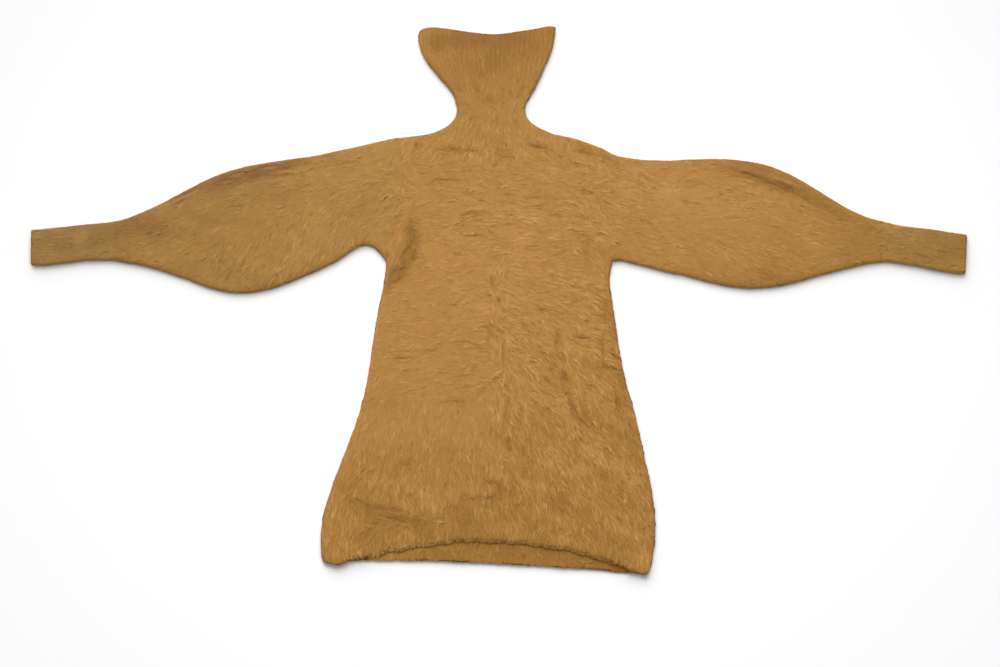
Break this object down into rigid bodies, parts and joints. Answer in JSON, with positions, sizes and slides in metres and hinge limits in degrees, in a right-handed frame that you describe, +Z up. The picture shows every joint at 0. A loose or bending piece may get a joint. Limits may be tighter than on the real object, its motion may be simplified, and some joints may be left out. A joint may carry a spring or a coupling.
{
  "type": "turtleneck sweater",
  "caption": "Long furry knit turtleneck sweater laid flat, with puffed sleeves gathered into deep ribbed cuffs and a tall ribbed collar left open.",
  "frame": {"origin": "on the surface that the sweater lies on, under the middle of its outline box", "axes": "+X from the sleeve at the viewer's left to the one at the right, +Y from the hem up to the collar, +Z up out of the front"},
  "size_m": [1.6296, 1.0522, 0.0113],
  "materials": {
    "body_knit": "brushed furry knit, camel, matt",
    "sleeve_knit": "brushed furry knit, camel, matt",
    "cuff_rib": "ribbed knit with a shorter pile, camel, matt",
    "collar_rib": "ribbed knit with a shorter pile, camel, matt"
  },
  "bodies": {
    "root": {"front": "body_knit", "back": "body_knit", "sleeve_left": "sleeve_knit", "sleeve_right": "sleeve_knit", "cuff_left": "cuff_rib", "cuff_right": "cuff_rib", "collar": "collar_rib"}
  },
  "joints": []
}
